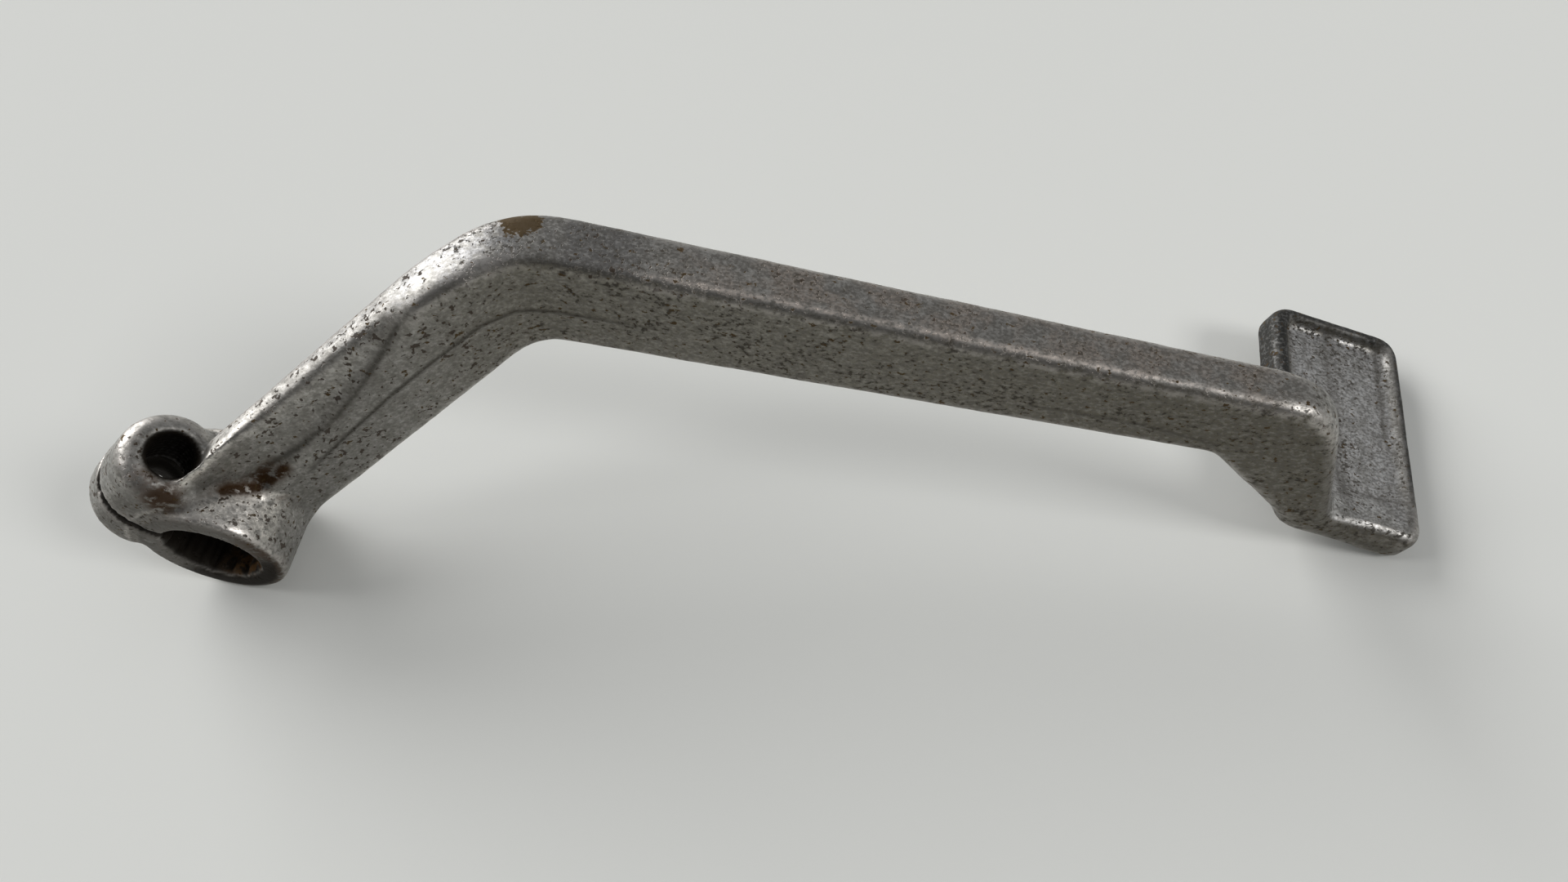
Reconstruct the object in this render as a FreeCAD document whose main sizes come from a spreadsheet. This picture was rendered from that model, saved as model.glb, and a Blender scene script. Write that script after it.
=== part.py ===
"""Rear brake pedal: one cast aluminium lever with a clamped spline boss and a dished foot pad.

Frame: Y is the spline bore's axis, X runs forward from the boss to the foot pad, Z is up.
The origin is the middle of the bore. Lengths are in millimetres, angles in degrees.
"""
import FreeCAD
import Part
import Sketcher
import math
import os

doc = FreeCAD.newDocument("rear_brake_pedal")
sheet = doc.addObject("Spreadsheet::Sheet", "Sizes")

SIZES = [
    # collar and spline bore
    ("collar_radius", 11.3),
    ("collar_length", 16.5),
    ("collar_edge", 1.2),
    ("spline_tip_radius", 6.7),
    ("spline_depth", 0.8),
    ("spline_groove_width", 1.3),
    ("spline_teeth", 16),
    ("bore_chamfer", 0.4),
    # pinch lug, slit and pinch hole, measured square to the leaning slit
    ("slit_width", 1.2),
    ("slit_lean", 35),
    ("lug_offset", 11.3),
    ("lug_radius", 8),
    ("lug_top_radius", 7),
    ("lug_rise", 11.4),
    ("lug_drop", 7.4),
    ("lug_foot_radius", 8.5),
    ("lug_crown", 3),
    ("lug_foot", 1.5),
    ("cheek_rise", 7.5),
    ("pinch_clearance_radius", 4.2),
    ("pinch_seat_radius", 6.2),
    ("pinch_tap_radius", 3.45),
    ("pinch_countersink", 0.5),
    # arm seen from the side, in X and Z
    ("root_heel_x", 8),
    ("root_heel_z", -7.9),
    ("root_low_x", 12.6),
    ("root_low_z", -2),
    ("root_low_round", 6),
    ("root_top_x", -5),
    ("root_top_z", 12.4),
    ("bend_low_x", 44.4),
    ("bend_low_z", 19),
    ("bend_low_round", 12),
    ("bend_top_x", 36.7),
    ("bend_top_z", 39.5),
    ("bend_top_round", 27),
    # arm's end seen from the side, in X and Z from the pad's back edge
    ("neck_low_x", -16.1),
    ("neck_low_z", 12.3),
    ("neck_low_round", 5),
    ("end_top_x", -2),
    ("end_top_z", 25.6),
    ("end_top_round", 10.5),
    ("neck_heel", 0.6),
    ("neck_toe", 10),
    # arm seen from above, in X and Y, its root measured from the collar's near end
    ("root_back", 4),
    ("flank_root_y", 1.8),
    ("flank_bend_x", 46),
    ("flank_bend_y", 26.55),
    ("flank_round", 14),
    ("root_width", 7.4),
    ("bend_width", 9.8),
    ("end_width", 7.6),
    ("arm_edge", 2.2),
    # relief on the near side of the first section
    ("relief_start_x", 34.5),
    ("relief_start_z", 35.5),
    ("relief_end_x", 8),
    ("relief_end_z", 7.6),
    ("relief_depth", 2.8),
    ("relief_runout", 7),
    ("relief_round", 1.6),
    # foot pad, measured in its tilted plane
    ("pad_x", 164.6),
    ("pad_y", 26.9),
    ("pad_z", 0.7),
    ("pad_tilt", 14.7),
    ("pad_width", 25.2),
    ("pad_length", 42.6),
    ("pad_thickness", 6),
    ("pad_corner", 4),
    ("pad_edge", 1.2),
    ("dish_depth", 1.8),
    ("dish_rim", 2),
    ("dish_side_ramp", 1.2),
    ("dish_front_ramp", 6),
    ("dish_corner", 3),
    ("dish_round", 1),
]
for row, (alias, number) in enumerate(SIZES, start=1):
    sheet.set(f"A{row}", alias)
    sheet.set(f"B{row}", str(number))
    sheet.setAlias(f"B{row}", alias)
doc.recompute()

X_AXIS = FreeCAD.Vector(1, 0, 0)
Y_AXIS = FreeCAD.Vector(0, 1, 0)
Z_AXIS = FreeCAD.Vector(0, 0, 1)
FULL_TURN = 360
QUARTER_TURN = 90
UP_TO_SIDE = FreeCAD.Rotation(X_AXIS, -QUARTER_TURN)
SIDE_VIEW = FreeCAD.Placement(FreeCAD.Vector(), FreeCAD.Rotation(X_AXIS, QUARTER_TURN))
TOP_VIEW = FreeCAD.Placement()
NEAR = 1e-3
ACROSS = 0.95


def size(alias):
    """Present value of a driving dimension."""
    return float(sheet.get(alias))


def bind(feature, **lengths):
    """Tie properties of a feature to expressions on the sheet."""
    for prop, expression in lengths.items():
        feature.setExpression(prop, str(expression))
    return feature


def outline(name, corners, view):
    """Closed outline of straight sides whose corners are bound to expressions."""
    sketch = doc.addObject("Sketcher::SketchObject", name)
    sketch.Placement = view
    spots = [FreeCAD.Vector(*(float(sheet.evalExpression(term)) for term in corner)) for corner in corners]
    for start, end in zip(spots, spots[1:] + spots[:1]):
        sketch.addGeometry(Part.LineSegment(start, end))
    for side in range(len(spots)):
        following = (side + 1) % len(spots)
        sketch.addConstraint(Sketcher.Constraint("Coincident", side, 2, following, 1))
    for side, (spot, corner) in enumerate(zip(spots, corners)):
        for kind, value, term in (("DistanceX", spot.x, corner[0]), ("DistanceY", spot.y, corner[1])):
            at = sketch.addConstraint(Sketcher.Constraint(kind, -1, 1, side, 1, value))
            sketch.setExpression(f"Constraints[{at}]", term)
    return sketch


def prism(name, sketch, along, ahead, behind):
    """Solid swept from an outline, ahead and behind its plane."""
    solid = doc.addObject("Part::Extrusion", name)
    solid.Base = sketch
    solid.DirMode = "Custom"
    solid.Dir = along
    solid.Solid = True
    return bind(solid, LengthFwd=ahead, LengthRev=behind)


def rounded(name, base, *picks):
    """Fillet the edges of a solid that each test picks, with that test's radius."""
    doc.recompute()
    feature = doc.addObject("Part::Fillet", name)
    feature.Base = base
    chosen = {}
    for test, radius in picks:
        for index, edge in enumerate(base.Shape.Edges, start=1):
            if index not in chosen and test(edge):
                chosen[index] = radius
    feature.Edges = [(index, radius, radius) for index, radius in chosen.items()]
    doc.recompute()
    return feature


def straight_along(edge, axis):
    """True for a straight edge parallel to an axis."""
    return edge.Curve.TypeId == "Part::GeomLine" and abs(abs(edge.Curve.Direction * axis) - 1) < NEAR


def through(x, y, axis):
    """Test for the straight edge parallel to an axis that passes a corner of an outline."""
    def test(edge):
        spot = edge.CenterOfMass
        pair = (spot.x, spot.z) if axis is Y_AXIS else (spot.x, spot.y)
        return straight_along(edge, axis) and math.dist(pair, (x, y)) < NEAR
    return test


def combined(kind, name, *solids):
    """Boolean of several solids."""
    feature = doc.addObject(kind, name)
    feature.Shapes = list(solids)
    return feature


def cut(name, base, tool):
    """Base with the tool taken away."""
    feature = doc.addObject("Part::Cut", name)
    feature.Base = base
    feature.Tool = tool
    return feature


# Frames of the tilted pad and of the leaning slit
pad_turn = FreeCAD.Rotation(Y_AXIS, size("pad_tilt"))
pad_frame = FreeCAD.Placement(FreeCAD.Vector(size("pad_x"), size("pad_y"), size("pad_z")), pad_turn)
lug_frame = FreeCAD.Placement(FreeCAD.Vector(), FreeCAD.Rotation(Y_AXIS, size("slit_lean")))


def placed(feature, frame, x, y, z):
    """Put a feature at a point of a frame."""
    feature.Placement = frame * FreeCAD.Placement(FreeCAD.Vector(x, y, z), FreeCAD.Rotation())
    return feature


def on_pad(across, below):
    """Expressions for X and Z of a point given across the pad and below its rim."""
    lean = "Sizes.pad_tilt * 1deg"
    return (f"Sizes.pad_x + ({across}) * cos({lean}) - ({below}) * sin({lean})",
            f"Sizes.pad_z - ({across}) * sin({lean}) - ({below}) * cos({lean})")


def near_pad(alias):
    """Expressions for X and Z of a corner of the arm that is measured from the pad's back edge."""
    return f"Sizes.pad_x + Sizes.{alias}_x", f"Sizes.pad_z + Sizes.{alias}_z"


def corner_at(terms, axis):
    """Test for the edge through a corner that is given by expressions."""
    return through(*(float(sheet.evalExpression(term)) for term in terms), axis)


# Arm: side outline and top outline, each rounded at its bends, then their common solid
mid_plate = "(Sizes.dish_depth + Sizes.pad_thickness) / 2"
root_low = ("Sizes.root_low_x", "Sizes.root_low_z")
bend_low = ("Sizes.bend_low_x", "Sizes.bend_low_z")
bend_top = ("Sizes.bend_top_x", "Sizes.bend_top_z")
side = outline("SideOutline", [
    ("Sizes.root_heel_x", "Sizes.root_heel_z"),
    root_low,
    bend_low,
    near_pad("neck_low"),
    on_pad("Sizes.neck_heel", mid_plate),
    on_pad("Sizes.neck_toe", mid_plate),
    near_pad("end_top"),
    bend_top,
    ("Sizes.root_top_x", "Sizes.root_top_z"),
], SIDE_VIEW)
side_prism = prism("SidePrism", side, Y_AXIS, "Sizes.pad_y + Sizes.pad_length", "Sizes.collar_length")
side_solid = rounded(
    "SideSolid", side_prism,
    (corner_at(root_low, Y_AXIS), size("root_low_round")),
    (corner_at(bend_low, Y_AXIS), size("bend_low_round")),
    (corner_at(bend_top, Y_AXIS), size("bend_top_round")),
    (corner_at(near_pad("neck_low"), Y_AXIS), size("neck_low_round")),
    (corner_at(near_pad("end_top"), Y_AXIS), size("end_top_round")),
)
flank_start = "(Sizes.flank_root_y - Sizes.collar_length / 2)"
slope = f"(Sizes.flank_bend_y - {flank_start}) / Sizes.flank_bend_x"
half_turn = f"tan(atan({slope}) / 2)"
near_bend = ("Sizes.flank_bend_x", "Sizes.flank_bend_y")
far_bend = (f"Sizes.flank_bend_x - Sizes.bend_width * {half_turn}", "Sizes.flank_bend_y + Sizes.bend_width")
end_x = "Sizes.pad_x + Sizes.pad_width"
root_y = f"{flank_start} - {slope} * Sizes.root_back"
top = outline("TopOutline", [
    ("-Sizes.root_back", root_y),
    near_bend,
    (end_x, "Sizes.flank_bend_y"),
    (end_x, "Sizes.flank_bend_y + Sizes.end_width"),
    far_bend,
    ("-Sizes.root_back", f"{root_y} + Sizes.root_width"),
], TOP_VIEW)
top_prism = prism("TopPrism", top, Z_AXIS, "Sizes.bend_top_z", "Sizes.pad_width")
top_solid = rounded(
    "TopSolid", top_prism,
    (corner_at(near_bend, Z_AXIS), size("flank_round")),
    (corner_at(far_bend, Z_AXIS), size("flank_round") + size("bend_width")),
)
arm_blank = combined("Part::MultiCommon", "ArmBlank", side_solid, top_solid)
doc.recompute()


def runs_along_arm(edge):
    """True for an edge of the arm that neither crosses it nor closes its root or its end in the pad."""
    middle = (edge.FirstParameter + edge.LastParameter) / 2
    ends = [vertex.Point for vertex in edge.Vertexes]
    depth = (size("dish_depth") + size("pad_thickness")) / 2
    across = abs(edge.tangentAt(middle) * Y_AXIS) > ACROSS or straight_along(edge, Z_AXIS)
    at_root = all(end.x < size("root_heel_x") + NEAR for end in ends)
    in_pad = all(pad_frame.inverse().multVec(end).z < NEAR - depth for end in ends)
    return not (across or at_root or in_pad)


arm_round = rounded("ArmRound", arm_blank, (runs_along_arm, size("arm_edge")))

# Relief: the upper half of the first section steps back to a rib towards the lug
reach_back = "-(Sizes.lug_offset + Sizes.lug_radius)"
relief_side = outline("ReliefSide", [
    (reach_back, "Sizes.relief_end_z"),
    ("Sizes.relief_end_x", "Sizes.relief_end_z"),
    ("Sizes.relief_start_x", "Sizes.relief_start_z"),
    ("Sizes.relief_start_x", "2 * Sizes.bend_top_z"),
    (reach_back, "2 * Sizes.bend_top_z"),
], SIDE_VIEW)


def flank_y(x):
    """Expression for Y of the near flank at a station along the first section."""
    return f"{flank_start} + {slope} * ({x})"


full_x = "Sizes.relief_start_x - Sizes.relief_runout"
relief_top = outline("ReliefTop", [
    ("Sizes.relief_start_x", f"{flank_y('Sizes.relief_start_x')} - Sizes.collar_length"),
    ("Sizes.relief_start_x", flank_y("Sizes.relief_start_x")),
    (full_x, f"{flank_y(full_x)} + Sizes.relief_depth"),
    (reach_back, f"{flank_y(reach_back)} + Sizes.relief_depth"),
    (reach_back, "-3 * Sizes.collar_length"),
], TOP_VIEW)
relief_blank = combined(
    "Part::MultiCommon", "ReliefBlank",
    prism("ReliefSidePrism", relief_side, Y_AXIS, "Sizes.pad_y", "3 * Sizes.collar_length"),
    prism("ReliefTopPrism", relief_top, Z_AXIS, "2 * Sizes.bend_top_z", "0"),
)


def in_valley(edge):
    """True for an edge where the relief's walls meet each other or its floor."""
    start, lean = (float(sheet.evalExpression(term)) for term in (flank_start, slope))
    depths = [vertex.Point.y - start - lean * vertex.Point.x for vertex in edge.Vertexes]
    far_end = max(vertex.Point.x for vertex in edge.Vertexes)
    low_end = min(vertex.Point.z for vertex in edge.Vertexes)
    on_wall = min(depths) > -NEAR and max(depths) > size("relief_depth") - NEAR
    return on_wall and far_end > size("relief_end_x") + NEAR and low_end < size("bend_top_z")


relief = rounded("Relief", relief_blank, (in_valley, size("relief_round")))
arm = cut("ArmStepped", arm_round, relief)

# Boss: collar, tapered pinch lug above and below the slit, and the cheek between them
collar_blank = bind(doc.addObject("Part::Cylinder", "CollarBlank"),
                    Radius="Sizes.collar_radius", Height="Sizes.collar_length")
collar_blank.Placement = FreeCAD.Placement(FreeCAD.Vector(0, -size("collar_length") / 2, 0), UP_TO_SIDE)
doc.recompute()


def is_circle(edge):
    """True for a full circular edge."""
    return edge.Curve.TypeId == "Part::GeomCircle" and edge.isClosed()


def circle_of(radius):
    """Test for a full circular edge of one radius."""
    return lambda edge: is_circle(edge) and abs(edge.Curve.Radius - radius) < NEAR


collar = rounded("Collar", collar_blank, (is_circle, size("collar_edge")))
upper_blank = bind(doc.addObject("Part::Cone", "LugUpperBlank"), Radius1="Sizes.lug_radius",
                   Radius2="Sizes.lug_top_radius", Height="Sizes.lug_rise")
placed(upper_blank, lug_frame, -size("lug_offset"), 0, 0)
lug_upper = rounded("LugUpper", upper_blank, (circle_of(size("lug_top_radius")), size("lug_crown")))
lower_blank = bind(doc.addObject("Part::Cone", "LugLowerBlank"), Radius1="Sizes.lug_foot_radius",
                   Radius2="Sizes.lug_radius", Height="Sizes.lug_drop")
placed(lower_blank, lug_frame, -size("lug_offset"), 0, -size("lug_drop"))
lug_lower = rounded("LugLower", lower_blank, (circle_of(size("lug_foot_radius")), size("lug_foot")))
cheek = bind(doc.addObject("Part::Box", "Cheek"), Length="Sizes.lug_offset", Width="2 * Sizes.lug_top_radius",
             Height="Sizes.cheek_rise + Sizes.lug_drop")
placed(cheek, lug_frame, -size("lug_offset"), -size("lug_top_radius"), -size("lug_drop"))

# Foot pad: plate with round corners and a dish that ramps up to its front lip
plate = bind(doc.addObject("Part::Box", "PlateBlank"), Length="Sizes.pad_width", Width="Sizes.pad_length",
             Height="Sizes.pad_thickness")
placed(plate, pad_frame, 0, 0, -size("pad_thickness"))
pad_normal = pad_turn.multVec(Z_AXIS)
plate_corners = rounded("PlateCorners", plate, (lambda edge: straight_along(edge, pad_normal), size("pad_corner")))
plate_round = rounded("PlateRound", plate_corners,
                      (lambda edge: abs(edge.tangentAt(edge.FirstParameter) * pad_normal) < NEAR, size("pad_edge")))
dish_blank = bind(
    doc.addObject("Part::Wedge", "DishBlank"),
    Xmin="Sizes.dish_rim", Xmax="Sizes.pad_width - Sizes.dish_rim",
    Zmin="Sizes.dish_rim", Zmax="Sizes.pad_length - Sizes.dish_rim",
    Ymin="0", Ymax="Sizes.dish_depth",
    X2min="Sizes.dish_rim + Sizes.dish_side_ramp",
    X2max="Sizes.pad_width - Sizes.dish_rim - Sizes.dish_side_ramp",
    Z2min="Sizes.dish_rim + Sizes.dish_front_ramp",
    Z2max="Sizes.pad_length - Sizes.dish_rim - Sizes.dish_side_ramp",
)
dish_blank.Placement = pad_frame * FreeCAD.Placement(FreeCAD.Vector(), UP_TO_SIDE)
doc.recompute()
dish_corners = rounded("DishCorners", dish_blank, (
    lambda edge: abs(edge.tangentAt(edge.FirstParameter) * pad_normal) > NEAR, size("dish_corner")))
dish_floor = -size("dish_depth")
dish = rounded("Dish", dish_corners, (
    lambda edge: abs(pad_frame.inverse().multVec(edge.CenterOfMass).z - dish_floor) < NEAR, size("dish_round")))
pad = cut("Pad", plate_round, dish)

casting = combined("Part::MultiFuse", "Casting", arm, collar, lug_upper, lug_lower, cheek, pad)

# Spline: round core with one groove patterned round the bore
spline = doc.addObject("PartDesign::Body", "SplineTool")


def from_origin(role):
    """Plane or axis of the spline body's own origin."""
    return next(item for item in spline.Origin.OriginFeatures if item.Role == role)


def spline_pad(name, sketch):
    """Pad a bore section to both sides, past the collar's ends."""
    sketch.AttachmentSupport = [(from_origin("XZ_Plane"), "")]
    sketch.MapMode = "FlatFace"
    solid = spline.newObject("PartDesign::Pad", name)
    solid.Profile = sketch
    solid.Midplane = True
    return bind(solid, Length="2 * Sizes.collar_length")


core_sketch = spline.newObject("Sketcher::SketchObject", "CoreSketch")
core_sketch.addGeometry(Part.Circle(FreeCAD.Vector(), Z_AXIS, size("spline_tip_radius")))
core_sketch.addConstraint(Sketcher.Constraint("Coincident", 0, 3, -1, 1))
core_radius = core_sketch.addConstraint(Sketcher.Constraint("Radius", 0, size("spline_tip_radius")))
core_sketch.setExpression(f"Constraints[{core_radius}]", "Sizes.spline_tip_radius")
spline_pad("Core", core_sketch)
groove_half = "Sizes.spline_groove_width / 2"
groove_floor = "Sizes.spline_tip_radius + Sizes.spline_depth"
groove_sketch = outline("GrooveSketch", [
    (f"-{groove_half}", "Sizes.spline_tip_radius / 2"),
    (groove_half, "Sizes.spline_tip_radius / 2"),
    (groove_half, groove_floor),
    (f"-{groove_half}", groove_floor),
], SIDE_VIEW)
spline.addObject(groove_sketch)
groove = spline_pad("Groove", groove_sketch)
doc.recompute()
pattern = spline.newObject("PartDesign::PolarPattern", "Grooves")
pattern.Originals = [groove]
pattern.Axis = (from_origin("Y_Axis"), [""])
pattern.Angle = FULL_TURN
bind(pattern, Occurrences="Sizes.spline_teeth")
spline.Tip = pattern

# Chamfer at both mouths of the bore
chamfer_height = "Sizes.spline_depth + Sizes.bore_chamfer"
chamfers = []
for name, end in (("ChamferNear", -1), ("ChamferFar", 1)):
    cone = bind(doc.addObject("Part::Cone", name), Radius1=f"{groove_floor} + Sizes.bore_chamfer",
                Radius2="Sizes.spline_tip_radius", Height=chamfer_height)
    cone.Placement = FreeCAD.Placement(FreeCAD.Vector(0, end * size("collar_length") / 2, 0),
                                       FreeCAD.Rotation(X_AXIS, end * QUARTER_TURN))
    chamfers.append(cone)

# Slit from the bore out through the lug, and across it the stepped pinch hole with a seat for the bolt's head
slit_reach = "Sizes.lug_offset + 2 * Sizes.lug_radius"
slit = bind(doc.addObject("Part::Box", "Slit"), Length=slit_reach, Width="2 * Sizes.collar_length",
            Height="Sizes.slit_width")
placed(slit, lug_frame, -float(sheet.evalExpression(slit_reach)), -size("collar_length"), -size("slit_width") / 2)
clearance = bind(doc.addObject("Part::Cylinder", "PinchClearance"), Radius="Sizes.pinch_clearance_radius",
                 Height="2 * Sizes.lug_drop")
placed(clearance, lug_frame, -size("lug_offset"), 0, -2 * size("lug_drop"))
seat = bind(doc.addObject("Part::Cylinder", "PinchSeat"), Radius="Sizes.pinch_seat_radius",
            Height="Sizes.lug_drop")
placed(seat, lug_frame, -size("lug_offset"), 0, -2 * size("lug_drop"))
tapped = bind(doc.addObject("Part::Cylinder", "PinchTapped"), Radius="Sizes.pinch_tap_radius",
              Height="Sizes.lug_rise")
placed(tapped, lug_frame, -size("lug_offset"), 0, 0)
mouth_radius = "Sizes.pinch_tap_radius + Sizes.pinch_countersink"
countersink = bind(doc.addObject("Part::Cone", "PinchCountersink"), Radius1="Sizes.pinch_tap_radius",
                   Radius2=mouth_radius, Height="Sizes.pinch_countersink")
placed(countersink, lug_frame, -size("lug_offset"), 0, size("lug_rise") - size("pinch_countersink"))
approach = bind(doc.addObject("Part::Cylinder", "PinchApproach"), Radius=mouth_radius, Height="Sizes.lug_rise")
placed(approach, lug_frame, -size("lug_offset"), 0, size("lug_rise"))
openings = combined("Part::MultiFuse", "Openings", spline, *chamfers, slit, clearance, seat, tapped,
                    countersink, approach)
pedal = cut("brake_pedal", casting, openings)
doc.recompute()

# Every feature is sound before the piece is written
for feature in doc.Objects:
    if "Invalid" in feature.State or "Error" in feature.State:
        raise RuntimeError(f"{feature.Name} failed: {feature.State}")
if pedal.Shape.isNull() or not pedal.Shape.isValid() or len(pedal.Shape.Solids) != 1:
    raise RuntimeError("the pedal is not one sound solid")
os.makedirs("parts", exist_ok=True)
pedal.Shape.exportStep(f"parts/{pedal.Label}.step")
print(pedal.Label, round(pedal.Shape.Volume), "cubic mm", len(pedal.Shape.Faces), "faces")
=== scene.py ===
"""Looks of the rear brake pedal: a worn, pitted aluminium casting on a pale floor.

Lengths on the part are in millimetres in its own frame, and in metres where Blender takes them.
"""

import bmesh
import bpy
import numpy as np
from mathutils import Matrix, Vector, noise


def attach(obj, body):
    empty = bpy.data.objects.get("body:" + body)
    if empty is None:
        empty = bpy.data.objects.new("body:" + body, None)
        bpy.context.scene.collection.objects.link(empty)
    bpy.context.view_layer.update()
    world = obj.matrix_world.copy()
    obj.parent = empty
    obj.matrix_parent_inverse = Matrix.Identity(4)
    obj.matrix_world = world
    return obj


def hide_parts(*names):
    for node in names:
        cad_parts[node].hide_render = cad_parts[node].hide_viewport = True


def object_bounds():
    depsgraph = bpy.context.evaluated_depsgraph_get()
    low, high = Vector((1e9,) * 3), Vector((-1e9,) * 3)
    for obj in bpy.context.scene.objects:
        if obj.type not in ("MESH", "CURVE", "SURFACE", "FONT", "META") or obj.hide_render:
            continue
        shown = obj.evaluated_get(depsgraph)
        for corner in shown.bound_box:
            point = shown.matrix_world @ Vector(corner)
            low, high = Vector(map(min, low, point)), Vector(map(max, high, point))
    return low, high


MM = 0.001
# Edge of a voxel of the even mesh, and the distance at which vertices are one, both in metres
VOXEL, WELD = 0.46 * MM, 1e-7

# Boss: half length, lip of the bore at its ends, and reach of the bore's skin for shaping and for colour
BOSS_HALF, BORE_LIP = 8.25, 0.35
BORE_REACH, BORE_WALL = 8.2, 7.7
# Slit: its lean, and how far across and along it its skin reaches, for shaping and for colour
SLIT_LEAN = np.radians(35)
SLIT_REACH, SLIT_START = 1.1, -6
SLIT_WALL, SLIT_WALL_START = 0.85, -5
# Pinch hole: distance from the bore's axis, reach of its skin, and the thread above the slit
PINCH_OFFSET, PINCH_REACH = 11.3, 4.0
THREAD_PITCH, THREAD_DEPTH = 1.25, 0.16
THREAD_START, THREAD_END = 1.2, 10.6
# Ring of grime in the pinch hole below the slit, which also stands in for the hole's shade by hiding the floor through
# it: reach from the hole's axis, and thickness
RING_REACH, RING_HEIGHT = 4.6, 0.8
# First section seen from above: Y at the boss and rise along X, of its near flank and of the rib's crest
FLANK_START, FLANK_RISE = -6.45, 0.7174
CREST_START, CREST_RISE = -1.95, 0.652
FLANK_COS = 1 / np.hypot(1, FLANK_RISE)
# Foot pad: where it starts along X, near corner, tilt, half width and length, corner radius
PAD_START = 158
PAD_X, PAD_Y, PAD_Z = 164.6, 26.9, 0.7
PAD_TILT = np.radians(14.7)
PAD_HALF, PAD_CORNER = np.array([12.6, 21.3]), 4.0
# Worn radius of the pad's outer edge, and of its front end
PAD_EDGE, PAD_FRONT_EDGE = 2.0, 3.0

# Pulls of one round of smoothing: in and back over the whole skin, in a soft zone, and in a hollow
PULL_IN, PULL_BACK = 0.55, -0.57
ZONE_PULL, HOLLOW_PULL = 0.5, 0.6
# Rounds over the whole skin before and after the zones, share of it in the bore, rounds between new normals
FIRST_ROUNDS, LAST_ROUNDS = 14, 8
BORE_SHARE = 0.25
NORMALS_EVERY = 10
# Rounds of averaging that show edges and hollows
BULGE_ROUNDS = 10

# Parting line: height and width of its main run and of its tail, and width of the dirt along it
SEAM_HEIGHT, SEAM_WIDTH = 0.2, 0.55
TAIL_SEAM_HEIGHT, TAIL_SEAM_WIDTH = 0.1, 0.4
SEAM_DIRT_WIDTH = 0.45
# Uneven cast skin: waves per millimetre and height of its sway and of its grain
SWAY_RATE, SWAY_HEIGHT = 0.11, 0.07
GRAIN_RATE, GRAIN_HEIGHT = 0.55, 0.03

# Share of a spot's radius over which it is full
SPOT_CORE = 0.3
# Paths in the XZ plane: the rib's crest, and its end beside the pinch hole
RIB_CREST = [(8.9, 21.6), (14.9, 25.4), (20.7, 29.1), (26.4, 32.7), (29.8, 34.8)]
CREST_END = [(12, 23.6), (8.6, 21.2), (6.7, 19.9), (4.8, 18.2), (2.6, 15.9), (0.8, 14.9), (-0.8, 14.5)]
# Foot of the rib's wall, along the section and at the collar
VALLEY = [(8.1, 11.2), (14, 14.4), (20.4, 19.3), (24.6, 24.2), (27.7, 28.6), (30.2, 32.5)]
RIB_FOOT = [(4, 10.8), (6.1, 9.5), (8.3, 8.9), (10.3, 10.2), (11.5, 11.2)]
# Parting line, and its tail near the pad
SEAM = [(14.6, 9.6), (20.8, 14.9), (27.3, 20.1), (33.6, 24.2), (39.4, 27.6), (44, 28.2), (48.5, 27.3),
        (54.3, 26.8), (59, 26.5), (65.1, 26.1), (72, 25.2)]
TAIL_SEAM = [(120, 20), (136.6, 19), (148.1, 16.4)]
# Corner of the neck
NECK_CORNER = [(153, 27.4), (157.6, 26.3), (160.1, 24.4), (162.4, 22), (164.6, 18.7)]

# Bare metal, from its darker to its lighter mottle
BARE = (0.24, 0.232, 0.216), (0.37, 0.361, 0.341)
# Layers over it, from the lowest to the top one: how much each covers at most, and its colour. The near flank, the
# tail, the holes and much of the grime are painted shade, and the edge line and part of the pale metal are painted
# highlights
LAYERS = {
    "dish_floor": (1.0, (0.57, 0.565, 0.56)),
    # painted shade on the faces turned to the near side
    "flank": (0.7, (0.155, 0.142, 0.107)),
    "shaded_tail": (0.8, (0.088, 0.077, 0.054)),
    "patches": (0.26, (0.11, 0.1, 0.08)),
    "top_warm": (1.0, (0.32, 0.283, 0.25)),
    "dark_tops": (0.6, (0.11, 0.108, 0.11)),
    "pale": (1.0, (0.82, 0.78, 0.72)),
    "polish": (0.75, (0.2, 0.2, 0.205)),
    "bright_grain": (1.0, (0.5, 0.485, 0.46)),
    "dark_grain": (1.0, (0.105, 0.098, 0.086)),
    "rim": (0.92, (0.028, 0.028, 0.027)),
    "rim_grain": (0.6, (0.16, 0.158, 0.152)),
    "pits": (0.8, (0.046, 0.038, 0.027)),
    "big_pits": (0.85, (0.046, 0.03, 0.018)),
    "edge_wear": (0.75, (0.43, 0.405, 0.38)),
    # painted highlight along the long arm's near top edge
    "edge_highlight": (0.8, (0.74, 0.65, 0.58)),
    "grime_and_shade": (0.85, (0.046, 0.04, 0.03)),
    "rust": (0.95, (0.055, 0.026, 0.009)),
    "stain": (0.92, (0.1, 0.068, 0.033)),
    # painted shade inside the holes and the slit
    "hole_shade": (0.97, (0.014, 0.01, 0.006)),
    "bore_rust": (1.0, (0.12, 0.066, 0.028)),
    "seam": (0.9, (0.042, 0.036, 0.028)),
}
# Stretch of the noises: even, or longer along the arm
EVEN, ALONG_ARM = (1, 1, 1), (0.75, 1, 1)
# Noises: scale per millimetre, detail, roughness, a shift of its own, and stretch
NOISES = {
    "cloud": (0.16, 3, 0.55, (2, 9, 4), EVEN),
    "mottle": (0.8, 4, 0.6, (11, 3, 7), ALONG_ARM),
    "fine": (2.2, 2, 0.6, (7, 1, 19), ALONG_ARM),
    "pits": (1.5, 3, 0.55, (5, 17, 2), ALONG_ARM),
    "patchy": (0.38, 2, 0.5, (3, 21, 8), EVEN),
    "big_pits": (1.05, 2, 0.5, (31, 5, 13), EVEN),
}
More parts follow.
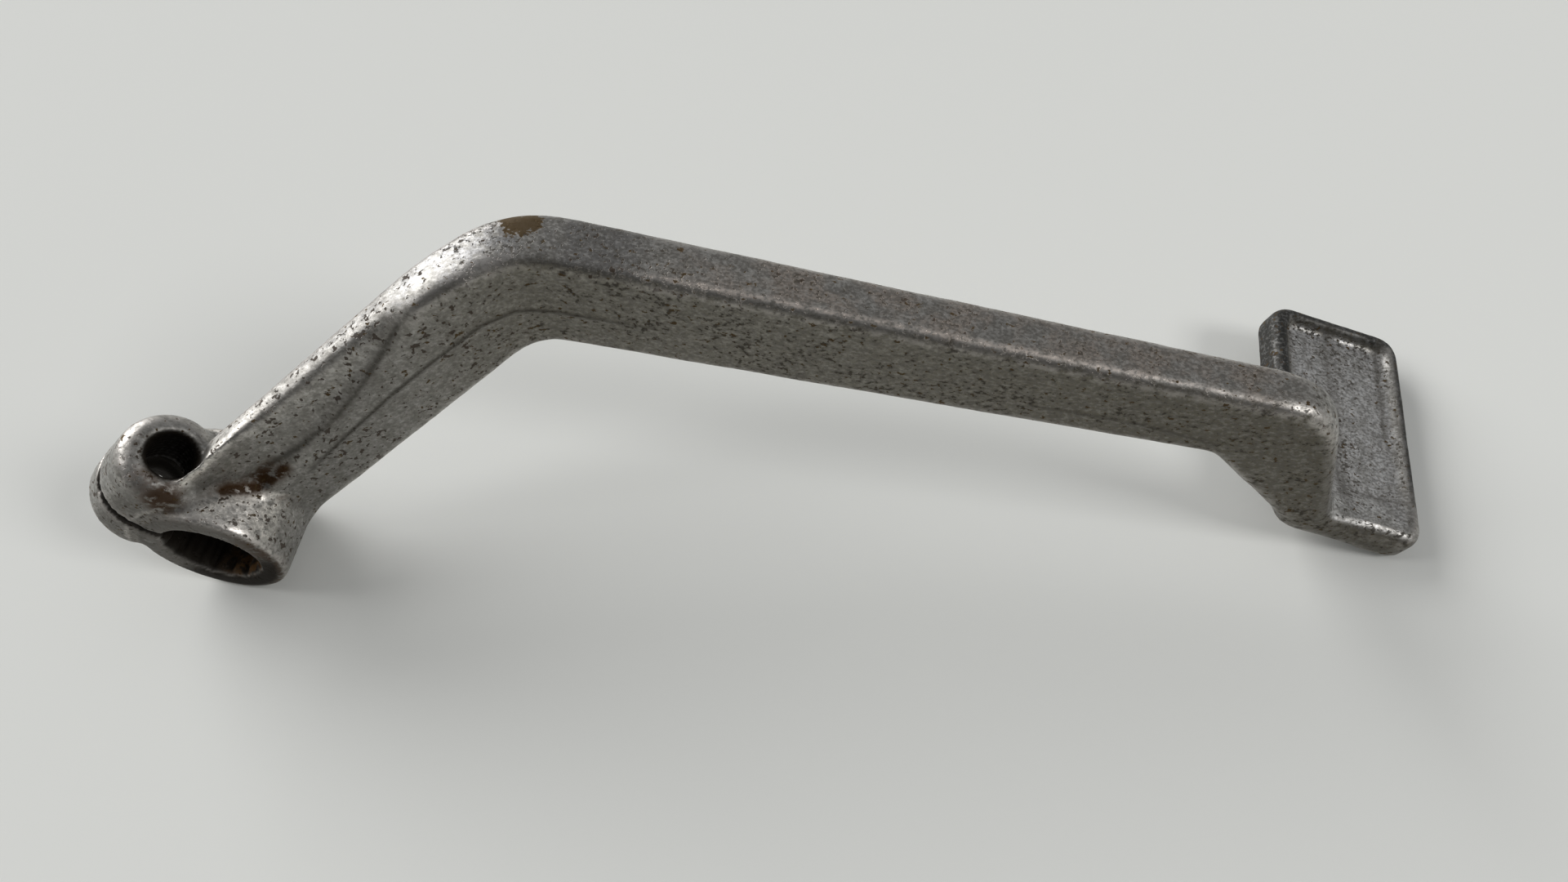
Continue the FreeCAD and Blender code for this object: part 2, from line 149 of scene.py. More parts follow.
# Pits: noise above which they start, on the boss and on the arm, and over which they deepen
PIT_BOSS, PIT_ARM, PIT_RISE = 0.7, 0.625, 0.1
BIG_PIT_BOSS, BIG_PIT_ARM, BIG_PIT_RISE = 0.65, 0.72, 0.05
# How much sooner pits start in clusters, on bright metal and on the flank
PIT_CLUSTER, PIT_BRIGHT, PIT_FLANK = 0.08, 0.08, 0.025
# Stain: shares of the two noises in its ragged edge, and where it starts and is full
STAIN_MOTTLE, STAIN_PITS = 2.2, 2.0
STAIN_START, STAIN_FULL = 2.5, 2.66
# Metallic share of the clean skin, of dull spots and of rust
METAL_CLEAN, METAL_DULL, METAL_RUST = 0.94, 0.6, 1.0
# Roughness of the skin's darker and lighter mottle, of bright wear and of dull spots
ROUGH_DARK, ROUGH_LIGHT, ROUGH_BRIGHT, ROUGH_DULL = 0.48, 0.4, 0.36, 0.78
# Share of dullness on the pad's dark rim
RIM_DULL = 0.45
# Bump: shares of the mottle, the fine grain and the pits in its height, its strength and its distance
MOTTLE_HEIGHT, FINE_HEIGHT, PIT_HEIGHT = 0.35, 0.25, 0.5
BUMP_STRENGTH, BUMP_DISTANCE = 0.5, 0.22 * MM

# Floor: width, middle, colour and roughness
FLOOR_WIDTH, FLOOR_X, FLOOR_Y = 6, 0.09, 0.02
FLOOR_COLOUR, FLOOR_ROUGH = (0.74, 0.745, 0.715), 0.9
# Sky: colour, strength on the viewer's side and on the far side, and between which directions along Y it changes
SKY_COLOUR = (0.97, 0.985, 1)
NEAR_SKY, FAR_SKY = 0.06, 0.34
SKY_FROM, SKY_TO = -0.8, 0.1
# Pale backdrop: colour, and the sine of the elevation at which it ends and starts to fade
BACKDROP_COLOUR = (0.62, 0.625, 0.61)
BACKDROP_TOP, BACKDROP_FADE = 0.3, 0.08
# Width of the window as seen from the part
WINDOW_ANGLE = np.radians(44)
# Camera: place, directions of its right, down and ahead, sensor, lens and nearest view
CAMERA_PLACE = Vector((96.8, -73.65, 165.8))
CAMERA_RIGHT = Vector((0.9877, 0.1559, 0.0150))
CAMERA_DOWN = Vector((0.1409, -0.8422, -0.5204))
CAMERA_AHEAD = Vector((-0.0685, 0.5161, -0.8538))
SENSOR_WIDTH, LENS, CLIP_START = 36, 27.26, 0.01

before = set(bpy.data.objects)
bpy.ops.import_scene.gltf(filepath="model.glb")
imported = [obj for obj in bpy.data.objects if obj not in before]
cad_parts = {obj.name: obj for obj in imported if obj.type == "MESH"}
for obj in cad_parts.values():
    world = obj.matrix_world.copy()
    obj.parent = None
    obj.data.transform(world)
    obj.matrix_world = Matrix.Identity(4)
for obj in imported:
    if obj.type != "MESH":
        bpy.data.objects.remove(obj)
cad_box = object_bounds()
scene = bpy.context.scene
scene.view_settings.view_transform = "Standard"


# Mesh of the casting
def casting_mesh(node):
    """Even mesh of the CAD solid, fine enough to carry soft cast edges."""
    mesh = node.data.copy()
    grid = bmesh.new()
    grid.from_mesh(mesh)
    bmesh.ops.remove_doubles(grid, verts=grid.verts, dist=WELD)
    grid.to_mesh(mesh)
    grid.free()
    piece = bpy.data.objects.new("pedal_casting", mesh)
    scene.collection.objects.link(piece)
    remesh = piece.modifiers.new("even", "REMESH")
    remesh.mode = "VOXEL"
    remesh.voxel_size = VOXEL
    bpy.context.view_layer.update()
    even = bpy.data.meshes.new_from_object(piece.evaluated_get(bpy.context.evaluated_depsgraph_get()))
    piece.modifiers.clear()
    piece.data = even
    bpy.data.meshes.remove(mesh)
    return piece


def edge_pairs(mesh):
    """Vertex numbers at the two ends of each edge."""
    pairs = np.zeros(len(mesh.edges) * 2, np.int64)
    mesh.edges.foreach_get("vertices", pairs)
    return pairs.reshape(-1, 2)


def coords(mesh):
    """Vertex places in millimetres."""
    flat = np.zeros(len(mesh.vertices) * 3)
    mesh.vertices.foreach_get("co", flat)
    return flat.reshape(-1, 3) / MM


def set_coords(mesh, places):
    """Put places in millimetres into the mesh."""
    mesh.vertices.foreach_set("co", (places * MM).astype(np.float32).ravel())
    mesh.update()


def normals(mesh):
    """Vertex normals."""
    flat = np.zeros(len(mesh.vertices) * 3, np.float32)
    mesh.vertices.foreach_get("normal", flat)
    return flat.reshape(-1, 3).astype(float)


# Smoothing
def neighbour_mean(pairs, total_spots):
    """Function that averages a vertex field over each vertex's neighbours."""
    a, b = pairs.T
    count = np.bincount(pairs.ravel(), minlength=total_spots).clip(1).astype(float)

    def mean(field):
        columns = []
        for column in field.T:
            total = np.bincount(a, column[b], len(count)) + np.bincount(b, column[a], len(count))
            columns.append(total / count)
        return np.stack(columns, 1)
    return mean


def blurred(field, mean, rounds):
    """Vertex field after several rounds of averaging."""
    for _ in range(rounds):
        field = mean(field)
    return field


def smooth(field, mean, weight, rounds, pulls):
    """Rounds of weighted smoothing. A pull in and one back soften edges and keep the volume."""
    for _ in range(rounds):
        for pull in pulls:
            field = field + pull * weight[:, None] * (mean(field) - field)
    return field


def fill_hollows(mesh, field, pairs, weight, rounds):
    """Smooth only where the surface is hollow, as a cast blend fills a corner."""
    inside = np.flatnonzero(weight > 0)
    number = np.full(len(field), -1)
    number[inside] = np.arange(len(inside))
    local = number[pairs]
    shared = (local >= 0).any(1)
    border = np.unique(pairs[shared & (local < 0).any(1)])
    inside = np.union1d(inside, border)
    number[inside] = np.arange(len(inside))
    local_mean = neighbour_mean(number[pairs[shared]], len(inside))
    pull = HOLLOW_PULL * weight[inside]
    patch = field[inside]
    for turn in range(rounds):
        if turn % NORMALS_EVERY == 0:
            field[inside] = patch
            set_coords(mesh, field)
            facing = normals(mesh)[inside]
        gap = ((local_mean(patch) - patch) * facing).sum(1)
        patch = patch + facing * (pull * np.clip(gap, 0, None))[:, None]
    field[inside] = patch
    return field


# Shares between 0 and 1 over the skin
def ramp(value, low, high):
    """Smooth step of an array from 0 at low to 1 at high, which may be the lower number."""
    t = np.clip((value - low) / (high - low), 0, 1)
    return t * t * (3 - 2 * t)


def window(value, start, full, fade, end):
    """Share that rises from start to full and falls from fade to end."""
    return ramp(value, start, full) * ramp(value, end, fade)


def bell(value, width):
    """Bell curve: 1 at 0, falling off over a width."""
    return np.exp(-(value / width) ** 2)


def near_spot(spots, centre, radius):
    """1 round a point, falling to 0 at a radius."""
    return 1 - ramp(np.linalg.norm(spots - np.array(centre), axis=1), SPOT_CORE * radius, radius)


def from_path(spots, path):
    """Distance in the XZ plane from a path of straight runs."""
    flat = spots[:, (0, 2)]
    best = np.full(len(flat), np.inf)
    for start, end in zip(path, path[1:]):
        start, end = np.array(start), np.array(end)
        run = end - start
        t = np.clip((flat - start) @ run / (run @ run), 0, 1)
        best = np.minimum(best, np.linalg.norm(flat - start - t[:, None] * run, axis=1))
    return best


def cast_noise(spots, rate):
    """Smooth noise at each spot, with a number of waves per millimetre."""
    return np.array([noise.noise(Vector(spot) * rate) for spot in spots])


def pad_edge_shift(on_pad, up_pad, over_pad):
    """Shift that wears the pad's upper outer edge round, beyond the neck."""
    flat = np.stack([on_pad, up_pad], 1) - PAD_HALF
    beyond = np.abs(flat) - (PAD_HALF - PAD_CORNER)
    furthest = beyond.max(1)
    out = np.where(furthest[:, None] > 0, np.clip(beyond, 0, None), beyond == furthest[:, None])
    reach = np.linalg.norm(out, axis=1)
    outward = out / reach[:, None] * np.sign(flat)
    inset = PAD_CORNER - np.where(furthest > 0, reach, furthest)
    at_front = ramp(up_pad, 8, 3) * ramp(on_pad, 24, 19)
    radius = PAD_EDGE + (PAD_FRONT_EDGE - PAD_EDGE) * at_front
    u, v = radius - inset, over_pad + radius
    pull = radius / np.hypot(u, v).clip(1e-6)
    outside = (u > 0) & (v > 0) & (pull < 1) & (over_pad < 0.25) & (inset > -0.5)
    share = np.where(outside, np.maximum(ramp(on_pad, 9, 11.5), ramp(up_pad, 9, 12)), 0)
    inward, drop = share * u * (1 - pull), share * v * (1 - pull)
    across, along = -outward.T * inward
    return np.stack([across * np.cos(PAD_TILT) - drop * np.sin(PAD_TILT), along,
                     -across * np.sin(PAD_TILT) - drop * np.cos(PAD_TILT)], 1)


casting = casting_mesh(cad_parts["brake_pedal"])
mesh = casting.data
pairs = edge_pairs(mesh)
mean = neighbour_mean(pairs, len(mesh.vertices))
spots = coords(mesh)

# Place of each vertex before it is softened: from the bore's axis
x, y, z = spots.T
from_axis = np.hypot(x, z)
in_bore = (from_axis < BORE_REACH) & (np.abs(y) < BOSS_HALF + BORE_LIP)
# In the lug: along the slit and across it, and from the pinch hole's axis and round it
along_slit = x * np.cos(SLIT_LEAN) - z * np.sin(SLIT_LEAN)
off_slit = x * np.sin(SLIT_LEAN) + z * np.cos(SLIT_LEAN)
in_slit = (np.abs(off_slit) < SLIT_REACH) & (along_slit < SLIT_START)
from_pinch = np.hypot(along_slit + PINCH_OFFSET, y)
round_pinch = np.arctan2(y, along_slit + PINCH_OFFSET)
in_pinch = from_pinch < PINCH_REACH
in_hole = in_bore | in_pinch
# On the pad: across it from the arm's side, along it from the near end, and over its rim
pad_dx, pad_dz = x - PAD_X, z - PAD_Z
on_pad = pad_dx * np.cos(PAD_TILT) - pad_dz * np.sin(PAD_TILT)
over_pad = pad_dx * np.sin(PAD_TILT) + pad_dz * np.cos(PAD_TILT)
up_pad = y - PAD_Y
at_pad = x > PAD_START
# In the first section: behind its near flank, and behind the rib's crest
depth = (y - FLANK_START - FLANK_RISE * x) * FLANK_COS
behind_crest = y - CREST_START - CREST_RISE * x

# Soft edges: the pad's worn outer edge, then a little everywhere
spots = spots + at_pad[:, None] * pad_edge_shift(on_pad, up_pad, over_pad)
spots = smooth(spots, mean, np.where(in_bore, BORE_SHARE, 1.0), FIRST_ROUNDS, (PULL_IN, PULL_BACK))
# More beside the rib, at the neck, in the dish, inside the pad's far side and along the rib's crest
relief = window(x, 7, 12, 35, 39) * window(depth, -2, -1, 2.6, 4.4) * ramp(z - 0.9 * x, -6, -2)
neck = window(x, 154, 158, 176, 180) * ramp(y, 37, 34)
dish = ramp(x, 164, 166) * ramp(y, 33, 37)
far_side = at_pad * window(on_pad, 19.5, 21, 22.8, 23.6) * window(up_pad, 5, 8, 34, 37) * ramp(over_pad, -2.6, -2)
crest = bell(from_path(spots, RIB_CREST), 2.6) * bell(behind_crest, 2.6) * ramp(x, 6, 11)
for zone, rounds in ((relief, 46), (neck, 24), (dish, 6), (far_side, 30), (crest, 100)):
    spots = smooth(spots, mean, zone, rounds, (ZONE_PULL,))
# Blends in the hollow corners of the boss and of the neck
open_skin = np.where(in_hole | in_slit, 0.0, 1.0)
open_skin = np.minimum(open_skin, blurred(open_skin[:, None], mean, 3)[:, 0])
boss_corner = open_skin * ramp(x, 24, 16)
neck_corner = window(x, 154, 158, 176, 179) * ramp(y, 38.5, 35.5)
neck_front = window(x, 168, 171, 178, 183) * ramp(up_pad, 8, 4)
for zone, rounds in ((boss_corner, 16), (neck_corner, 80), (neck_front, 160)):
    spots = fill_hollows(mesh, spots, pairs, zone, rounds)
spots = smooth(spots, mean, np.where(in_hole, 0.0, 1.0), LAST_ROUNDS, (PULL_IN, PULL_BACK))
set_coords(mesh, spots)

# Edges and hollows: how far the surface lies above or below its blurred self
facing = normals(mesh)
facing_y, facing_z = facing[:, 1], facing[:, 2]
bulge = ((spots - blurred(spots, mean, BULGE_ROUNDS)) * facing).sum(1)
bulge = blurred(bulge[:, None], mean, 2)[:, 0]
edge = ramp(bulge, 0.05, 0.2)
cavity = ramp(-bulge, 0.03, 0.16)

# Fine relief: the raised parting line, the uneven cast skin, the thread, and the ring of grime that narrows the pinch
# hole and stands in for its shade
near_face = ramp(-facing_y, 0.5, 0.8)
on_seam = near_face * window(spots[:, 0], 12, 18, 50, 72)
seam_gap = from_path(spots, SEAM)
tail_seam = near_face * bell(from_path(spots, TAIL_SEAM), TAIL_SEAM_WIDTH)
lift = SEAM_HEIGHT * on_seam * bell(seam_gap, SEAM_WIDTH) + TAIL_SEAM_HEIGHT * tail_seam
skin = SWAY_HEIGHT * cast_noise(spots, SWAY_RATE) + GRAIN_HEIGHT * cast_noise(spots, GRAIN_RATE)
lift = lift + np.where(in_hole, 0, skin)
thread = THREAD_DEPTH * np.cos(2 * np.pi * off_slit / THREAD_PITCH + round_pinch)
lift = lift + np.where(in_pinch & (off_slit > THREAD_START) & (off_slit < THREAD_END), thread, 0)
ring = RING_HEIGHT * window(off_slit, -7.3, -6.5, -4, -1.5)
lift = lift + np.where(from_pinch < RING_REACH, ring, 0)
spots = spots + facing * lift[:, None]
set_coords(mesh, spots)
mesh.polygons.foreach_set("use_smooth", [True] * len(mesh.polygons))

# Where the layers lie on the finished skin: first the shares that several of them use
x, y, z = spots.T
upward = ramp(facing_z, 0.6, 0.9)
in_wall = from_axis < BORE_WALL
from_end = BOSS_HALF - np.abs(y)
on_end = ramp(np.abs(facing_y), 0.6, 0.9) * (np.abs(y) > 7) * (from_axis < 12)
in_relief = window(depth, -1.4, -0.6, 4, 5)
from_valley = from_path(spots, VALLEY)
far_lip = at_pad * bell(up_pad - 39.3, 1.1) * window(on_pad, 3, 6, 16, 20)
# Painted shade inside the bore, the pinch hole and the slit, and on the end face below the bore
hole_shade = np.maximum.reduce([
    np.where(in_wall, ramp(from_end, 0, 0.8), 0),
    ramp(np.where(off_slit < 0, 4.8, 4.25) - from_pinch, 0, 0.5) * ramp(np.abs(off_slit - 1.5), 12, 9.6),
    np.where((np.abs(off_slit) < SLIT_WALL) & (along_slit < SLIT_WALL_START), 0.9, 0),
    on_end * ramp(0.5 * x - z, 1, 5) * ramp(from_axis, 10.7, 9.7),
])
# Rust at the rib's foot, in two spots on the lug, on the end face and in the bore
rust = np.maximum.reduce([
    1.2 * bell(from_path(spots, RIB_FOOT), 1.2) * bell(y - 0.6 * x + 4.4, 1.4),
    near_spot(spots, (9.6, 0.7, 9.3), 5.5) * ramp(cavity, 0.02, 0.3),
    0.95 * near_spot(spots, (-2.4, -6.4, 13.8), 4.4),
    0.6 * near_spot(spots, (-4.0, -5.1, 16.4), 3.4),
    0.7 * on_end * ramp(x, 4, 10),
])
bore_rust = np.where(in_wall, ramp(x, -3, 3) * ramp(from_end, 0, 1), 0)
# Grime and painted shade: darker on the collar's end faces and the lug's near side, painted shade with grime in the
# hollows of the boss and the pad, along the foot of the rib's wall and in a crease on the pad, a line of grime in pits
# on the pad, and painted shade in the dish beside the neck and on the faces turned down
grime_and_shade = np.maximum.reduce([
    # painted shade with grime on the collar's end faces
    0.8 * on_end,
    0.5 * ramp(-y, 5.5, 7) * ramp(-x, 1, 5),
    # painted shade with grime in the boss's hollows
    0.8 * cavity * ramp(x, 24, 18),
    # painted shade with grime along the foot of the rib's wall
    0.4 * in_relief * bell(from_valley, 1.4),
    0.9 * in_relief * bell(from_valley, 0.6),
    # painted shade in a crease on the pad
    0.7 * at_pad * bell(up_pad - 8.2, 0.5) * ramp(on_pad, 11, 15) * ramp(over_pad, -2.5, -2),
    0.75 * at_pad * bell(on_pad - 21.2, 0.55) * ramp(up_pad, 16, 22),
    # painted shade with grime in the pad's hollows
    0.5 * cavity * at_pad * (up_pad < 38),
    # painted shade in the dish where the neck meets it
    0.65 * at_pad * window(on_pad, 9.5, 11, 11, 14.5) * ramp(up_pad, 3, 6) * ramp(over_pad, 0.8, -0.4),
    # painted shade on the faces turned down
    0.35 * ramp(-facing_z, 0.6, 0.9),
])
# Pale metal on the collar's top and rims, and painted highlights along the rib's crest, at its end beside the pinch
# hole and at the neck's corner
pale = np.maximum.reduce([
    window(from_axis, 10, 10.8, 11.8, 12.4) * ramp(x, 0, 3) * ramp(z, 3, 7),
    0.7 * ramp(np.abs(y), 6.9, 7.5) * ramp(from_axis, 10.4, 10.9) * (from_axis < 12.6),
    # painted highlights: the crest's end, the rib's crest and the neck's corner
    bell(from_path(spots, CREST_END), 0.7) * bell(y - 0.77 * x + 3.6, 1.2),
    0.4 * bell(from_path(spots, RIB_CREST), 2.4) * ramp(behind_crest, 0.6, -0.4) * in_relief,
    bell(from_path(spots, NECK_CORNER), 0.8) * ramp(y, 28.8, 28) * ramp(x, 152, 157)
    * (0.5 - 0.2 * ramp(x, 160, 163)),
])
# Dark band round the pad's rim, and the bright floor of its dish
pad_rim = at_pad * ramp(up_pad, 2, 14) * np.maximum.reduce([
    ramp(on_pad, 3.6, 2.8), ramp(on_pad, 23, 24), ramp(up_pad, 39.4, 40.4)])
dish_floor = at_pad * window(on_pad, 3.2, 4.2, 21.5, 23) * ramp(up_pad, 39.5, 38.5) * ramp(over_pad, 1, -1)
# Polish on the bend's top and on the pad's far lip, and a stain where the arm starts
bend_top = ramp(facing_z, 0.75, 0.9) * ramp(x, 26, 32) * ramp(x + 0.25 * (y - 26), 47.5, 44.5)
polish = np.maximum(bend_top * (1 - near_spot(spots, (33.5, 21.3, 36.8), 3.2)), far_lip)
stain = near_spot(spots, (44.4, 33.2, 38.5), 4.4) * ramp(facing_z, 0.5, 0.8)
# Darker tops at the arm's start and behind the rib's crest, and a warmer top along the arm
dark_tops = upward * np.maximum(window(x, 46, 49.5, 58, 66), ramp(behind_crest, 1.8, 4) * window(x, 10, 16, 33, 38))
top_warm = upward * window(x, 60, 80, 150, 160)
# Wear on the edges, less on the pad, round the pinch hole and at the arm's start, and a painted highlight along the
# long arm's near top edge
edge_wear = edge * (1 - pad_rim) * (1 - 0.5 * ramp(x, 160, 166)) * ramp(from_pinch, 4.5, 5.5)
edge_wear = edge_wear * (1 - 0.8 * window(x, 44, 47, 58, 66))
edge_highlight = bell(facing_y + 0.33, 0.13) * ramp(facing_z, 0.8, 0.9) * window(x, 56, 74, 128, 158)

fields = {
    "hole_shade": hole_shade, "rust": rust, "bore_rust": bore_rust, "grime_and_shade": grime_and_shade, "pale": pale,
    "rim": pad_rim * (1 - far_lip), "dish_floor": dish_floor, "polish": polish, "stain": stain,
    "dark_tops": dark_tops, "top_warm": top_warm, "edge_wear": edge_wear, "edge_highlight": edge_highlight,
    # Painted shade: darker and browner on the faces turned to the near side, darkest along the long arm
    "flank": near_face * (0.2 + 0.8 * ramp(x, 24, 48)),
    "shaded_tail": near_face * ramp(x, 70, 168),
    "freckled": ramp(x, 30, 52),
    "seam": np.maximum(on_seam * bell(seam_gap, SEAM_DIRT_WIDTH), 0.6 * tail_seam),
}
for name, values in fields.items():
    stored = mesh.attributes.new(name, "FLOAT", "POINT")
    stored.data.foreach_set("value", np.clip(values, 0, 1).astype(np.float32))

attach(casting, "root")
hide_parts("brake_pedal")


# Materials and light
class Graph:
    """Small helper that adds and links nodes in a tree."""

    def __init__(self, tree):
        self.tree = tree

    def put(self, source, socket):
        """Put a number, a colour, a vector or another node's output into a socket."""
        if isinstance(source, (int, float)):
            socket.default_value = source
        elif isinstance(source, tuple):
            socket.default_value = (*source, 1)[:len(socket.default_value)]
        else:
            self.tree.links.new(source, socket)

    def node(self, kind, sockets=None, **settings):
        """New node with its settings, and with what goes into its sockets."""
        made = self.tree.nodes.new(kind)
        for name, value in settings.items():
            setattr(made, name, value)
        for key, source in (sockets or {}).items():
            self.put(source, made.inputs[key])
        return made

    def math(self, kind, a, b):
        """Arithmetic of two numbers."""
        return self.node("ShaderNodeMath", {0: a, 1: b}, operation=kind).outputs[0]

    def part(self, value, share):
        """A share of a value."""
        return self.math("MULTIPLY", value, share)

    def most(self, first, *others):
        """The largest of several values."""
        for other in others:
            first = self.math("MAXIMUM", first, other)
        return first

    def step(self, value, low, high, start=0.0, end=1.0):
        """Smooth step of a value, from start at low to end at high."""
        sockets = {"Value": value, "From Min": low, "From Max": high, "To Min": start, "To Max": end}
        return self.node("ShaderNodeMapRange", sockets, interpolation_type="SMOOTHSTEP").outputs["Result"]

    def mix(self, share, a, b):
        """Blend of two colours."""
        return self.node("ShaderNodeMix", {"Factor": share, 6: a, 7: b}, data_type="RGBA").outputs[2]

    def blend(self, share, a, b):
        """Blend of two numbers."""
        return self.node("ShaderNodeMix", {"Factor": share, 2: a, 3: b}).outputs[0]

    def vector(self, kind, a, b):
        """Arithmetic of two vectors."""
        return self.node("ShaderNodeVectorMath", {0: a, 1: b}, operation=kind).outputs[0]

    def field(self, name):
        """Stored vertex field."""
        return self.node("ShaderNodeAttribute", attribute_name=name).outputs["Fac"]

    def noise(self, place, scale, detail, rough, shift, stretch):
        """Noise with grains about 1 / scale wide."""
        moved = self.vector("ADD", self.vector("MULTIPLY", place, stretch), shift)
        sockets = {"Vector": moved, "Scale": scale, "Detail": detail, "Roughness": rough}
        return self.node("ShaderNodeTexNoise", sockets).outputs["Fac"]


def worn_aluminium(names):
    """Cast aluminium with wear, corrosion and dirt, and with painted shade and highlights, from noise in millimetres
    and the stored fields of these names.
    """
    material = bpy.data.materials.new("cast_aluminium_worn")
    material.use_nodes = True
    g = Graph(material.node_tree)
    shader = material.node_tree.nodes["Principled BSDF"].inputs
    place = g.vector("MULTIPLY", g.node("ShaderNodeTexCoord").outputs["Object"], (1 / MM, 1 / MM, 1 / MM))
    cloud, mottle, fine, pits, patchy, big_pits = (g.noise(place, *values) for values in NOISES.values())
    field = {name: g.field(name) for name in names}
    flank, rim, freckled = field["flank"], field["rim"], field["freckled"]

    # Pits: closer together in clusters, on bright metal and on the flank
    clustered = g.part(g.step(cloud, 0.38, 0.65), PIT_CLUSTER)
    on_bright = g.part(g.most(field["polish"], field["pale"]), PIT_BRIGHT)
    on_flank = g.part(g.most(flank, field["dish_floor"]), PIT_FLANK)
    sooner = g.math("ADD", clustered, g.most(on_bright, on_flank))
    limit = g.math("SUBTRACT", g.blend(freckled, PIT_BOSS, PIT_ARM), sooner)
    big_limit = g.math("SUBTRACT", g.blend(freckled, BIG_PIT_BOSS, BIG_PIT_ARM), clustered)
    # Ragged edge of the stain
    ragged = g.math("ADD", field["stain"], g.part(mottle, STAIN_MOTTLE))
    ragged = g.math("ADD", ragged, g.part(pits, STAIN_PITS))

    cover = {
        "dish_floor": g.part(field["dish_floor"], g.step(mottle, 0.36, 0.6, 0.5, 1.0)),
        "flank": flank,
        "shaded_tail": field["shaded_tail"],
        "patches": g.step(patchy, 0.42, 0.62),
        "top_warm": g.part(field["top_warm"], g.step(cloud, 0.4, 0.6)),
        "dark_tops": g.part(field["dark_tops"], g.step(cloud, 0.35, 0.55)),
        "pale": g.part(field["pale"], g.step(mottle, 0.3, 0.55)),
        "polish": g.part(field["polish"], g.step(mottle, 0.34, 0.56)),
        "bright_grain": g.part(g.step(pits, 0.5, 0.36), g.blend(flank, 0.36, 0.18)),
        "dark_grain": g.part(g.step(fine, 0.4, 0.6), g.blend(freckled, 0.38, 0.58)),
        "rim": rim,
        "rim_grain": g.part(rim, g.step(pits, 0.49, 0.39)),
        "pits": g.step(pits, limit, g.math("ADD", limit, PIT_RISE)),
        "big_pits": g.step(big_pits, big_limit, g.math("ADD", big_limit, BIG_PIT_RISE)),
        "edge_wear": g.part(field["edge_wear"], g.step(mottle, 0.36, 0.56)),
        "edge_highlight": g.part(field["edge_highlight"], g.part(g.step(mottle, 0.34, 0.54), g.step(fine, 0.7, 0.45))),
        "grime_and_shade": g.part(field["grime_and_shade"], g.step(mottle, 0.2, 0.5)),
        "rust": g.part(field["rust"], g.step(mottle, 0.36, 0.52)),
        "stain": g.step(ragged, STAIN_START, STAIN_FULL),
        "hole_shade": field["hole_shade"],
        "bore_rust": g.part(field["bore_rust"], g.step(mottle, 0.42, 0.6)),
        "seam": field["seam"],
    }
    mottled = g.step(mottle, 0.3, 0.7)
    colour = g.mix(mottled, *BARE)
    for name, (strength, over) in LAYERS.items():
        colour = g.mix(g.part(cover[name], strength), colour, over)
    g.put(colour, shader["Base Color"])

    pitted = g.most(cover["pits"], cover["big_pits"])
    earthy = g.most(cover["rust"], cover["stain"])
    dull = g.most(pitted, earthy, cover["grime_and_shade"])
    g.put(g.blend(earthy, g.blend(dull, METAL_CLEAN, METAL_DULL), METAL_RUST), shader["Metallic"])
    dull = g.most(dull, field["hole_shade"], g.part(rim, RIM_DULL))
    bright = g.most(cover["edge_wear"], cover["edge_highlight"], cover["polish"], cover["pale"])
    rough = g.blend(bright, g.blend(mottled, ROUGH_DARK, ROUGH_LIGHT), ROUGH_BRIGHT)
    g.put(g.blend(dull, rough, ROUGH_DULL), shader["Roughness"])
    height = g.math("ADD", g.part(mottle, MOTTLE_HEIGHT), g.part(fine, FINE_HEIGHT))
    height = g.math("SUBTRACT", height, g.part(pitted, PIT_HEIGHT))
    bump = g.node("ShaderNodeBump", {"Strength": BUMP_STRENGTH, "Distance": BUMP_DISTANCE, "Height": height})
    g.put(bump.outputs["Normal"], shader["Normal"])
    return material


def pale_floor():
    """Plain pale paint of the floor."""
    material = bpy.data.materials.new("pale_floor")
    material.use_nodes = True
    g = Graph(material.node_tree)
    shader = material.node_tree.nodes["Principled BSDF"].inputs
    g.put(FLOOR_COLOUR, shader["Base Color"])
    g.put(FLOOR_ROUGH, shader["Roughness"])
    return material


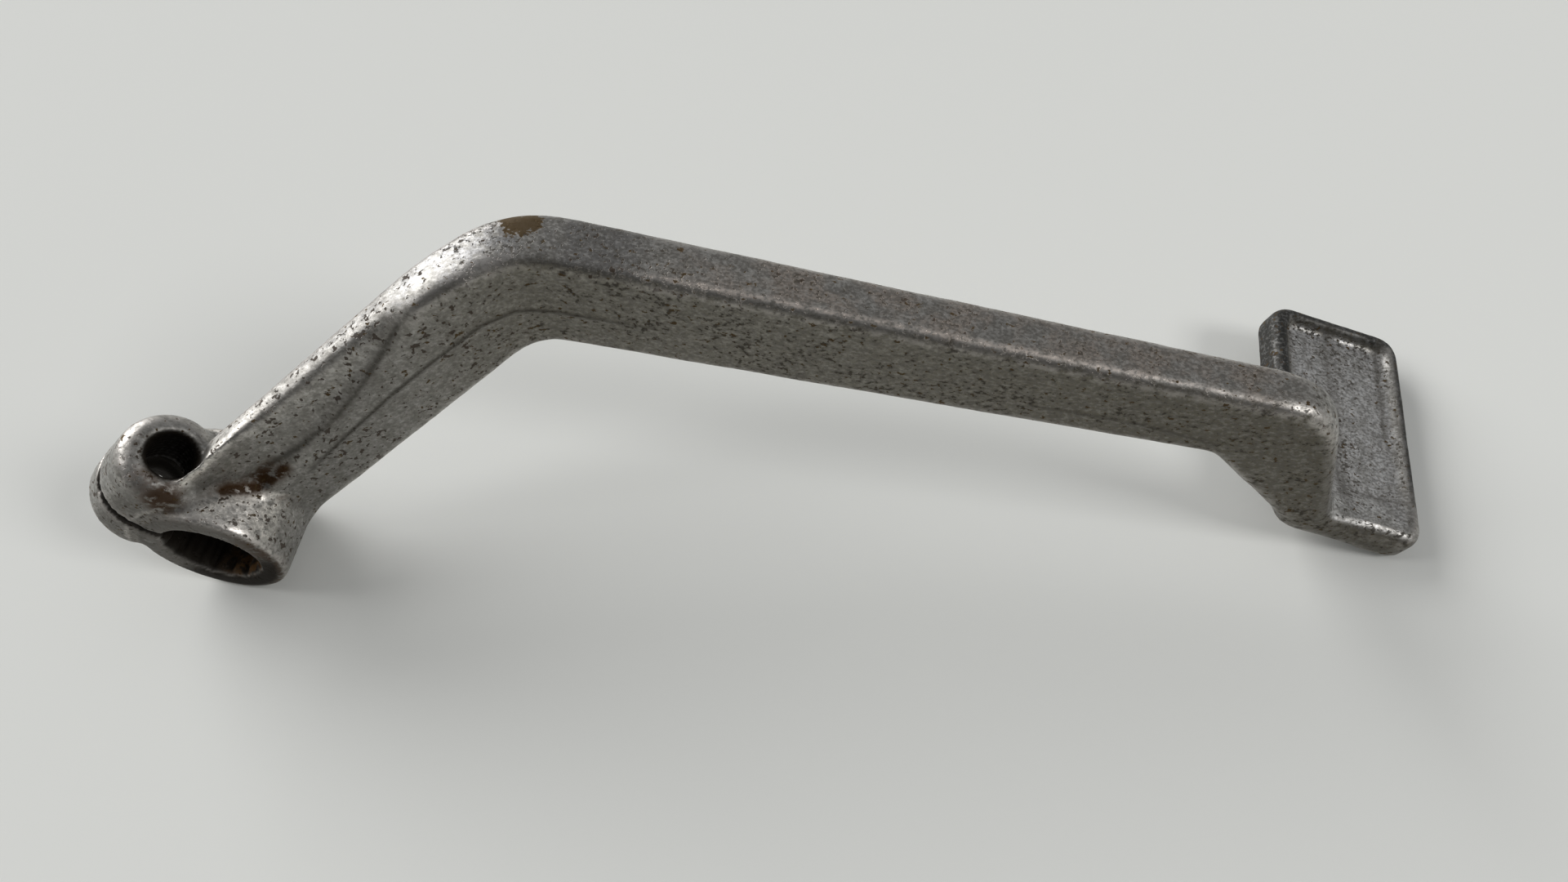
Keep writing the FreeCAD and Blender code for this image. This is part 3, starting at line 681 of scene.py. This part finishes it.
def studio():
    """Soft sky, and a pale backdrop low behind the floor's edge for the camera and for what metal mirrors."""
    world = bpy.data.worlds.new("studio")
    world.use_nodes = True
    nodes = world.node_tree.nodes
    g = Graph(world.node_tree)
    toward = g.node("ShaderNodeSeparateXYZ", {0: g.node("ShaderNodeTexCoord").outputs["Generated"]}).outputs
    sky = nodes["Background"]
    g.put(SKY_COLOUR, sky.inputs["Color"])
    g.put(g.step(toward["Y"], SKY_FROM, SKY_TO, NEAR_SKY, FAR_SKY), sky.inputs["Strength"])
    backdrop = g.node("ShaderNodeBackground", {"Color": BACKDROP_COLOUR})
    ray = g.node("ShaderNodeLightPath").outputs
    shown = g.most(ray["Is Camera Ray"], ray["Is Glossy Ray"], ray["Is Transmission Ray"])
    shown = g.part(shown, g.step(toward["Z"], BACKDROP_TOP, BACKDROP_FADE))
    either = g.node("ShaderNodeMixShader", {0: shown, 1: sky.outputs[0], 2: backdrop.outputs[0]})
    g.put(either.outputs[0], nodes["World Output"].inputs["Surface"])
    return world


def lamp(name, kind, spot, aim, power, **width):
    """Soft light of a kind at a spot, turned to a point, with its width as an angle or a size in metres."""
    data = bpy.data.lights.new(name, kind)
    data.energy = power
    for key, value in width.items():
        setattr(data, key, value)
    made = bpy.data.objects.new(name, data)
    made.location = spot
    made.rotation_euler = (Vector(aim) - Vector(spot)).to_track_quat("-Z", "Y").to_euler()
    scene.collection.objects.link(made)


mesh.materials.clear()
mesh.materials.append(worn_aluminium(list(fields)))

# Floor, light and camera
bpy.ops.mesh.primitive_plane_add(size=FLOOR_WIDTH, location=(FLOOR_X, FLOOR_Y, cad_box[0].z))
floor = bpy.context.object
floor.name = "floor"
floor.data.materials.append(pale_floor())
scene.world = studio()
lamp("window", "SUN", (-1.99, 1.34, 0.94), (FLOOR_X, FLOOR_Y, 0), 2.6, angle=WINDOW_ANGLE)
lamp("left", "AREA", (-1.99, -0.12, 1.5), (FLOOR_X, FLOOR_Y, 0), 14, size=1)
lamp("right", "AREA", (1.72, -0.31, 1.48), (0.12, 0.03, 0), 14, size=0.7)

camera = bpy.data.objects.new("camera", bpy.data.cameras.new("camera"))
scene.collection.objects.link(camera)
camera.data.sensor_width = SENSOR_WIDTH
camera.data.lens = LENS
camera.data.clip_start = CLIP_START
turn = Matrix((CAMERA_RIGHT, -CAMERA_DOWN, -CAMERA_AHEAD)).transposed().to_4x4()
camera.matrix_world = Matrix.Translation(CAMERA_PLACE * MM) @ turn
scene.camera = camera
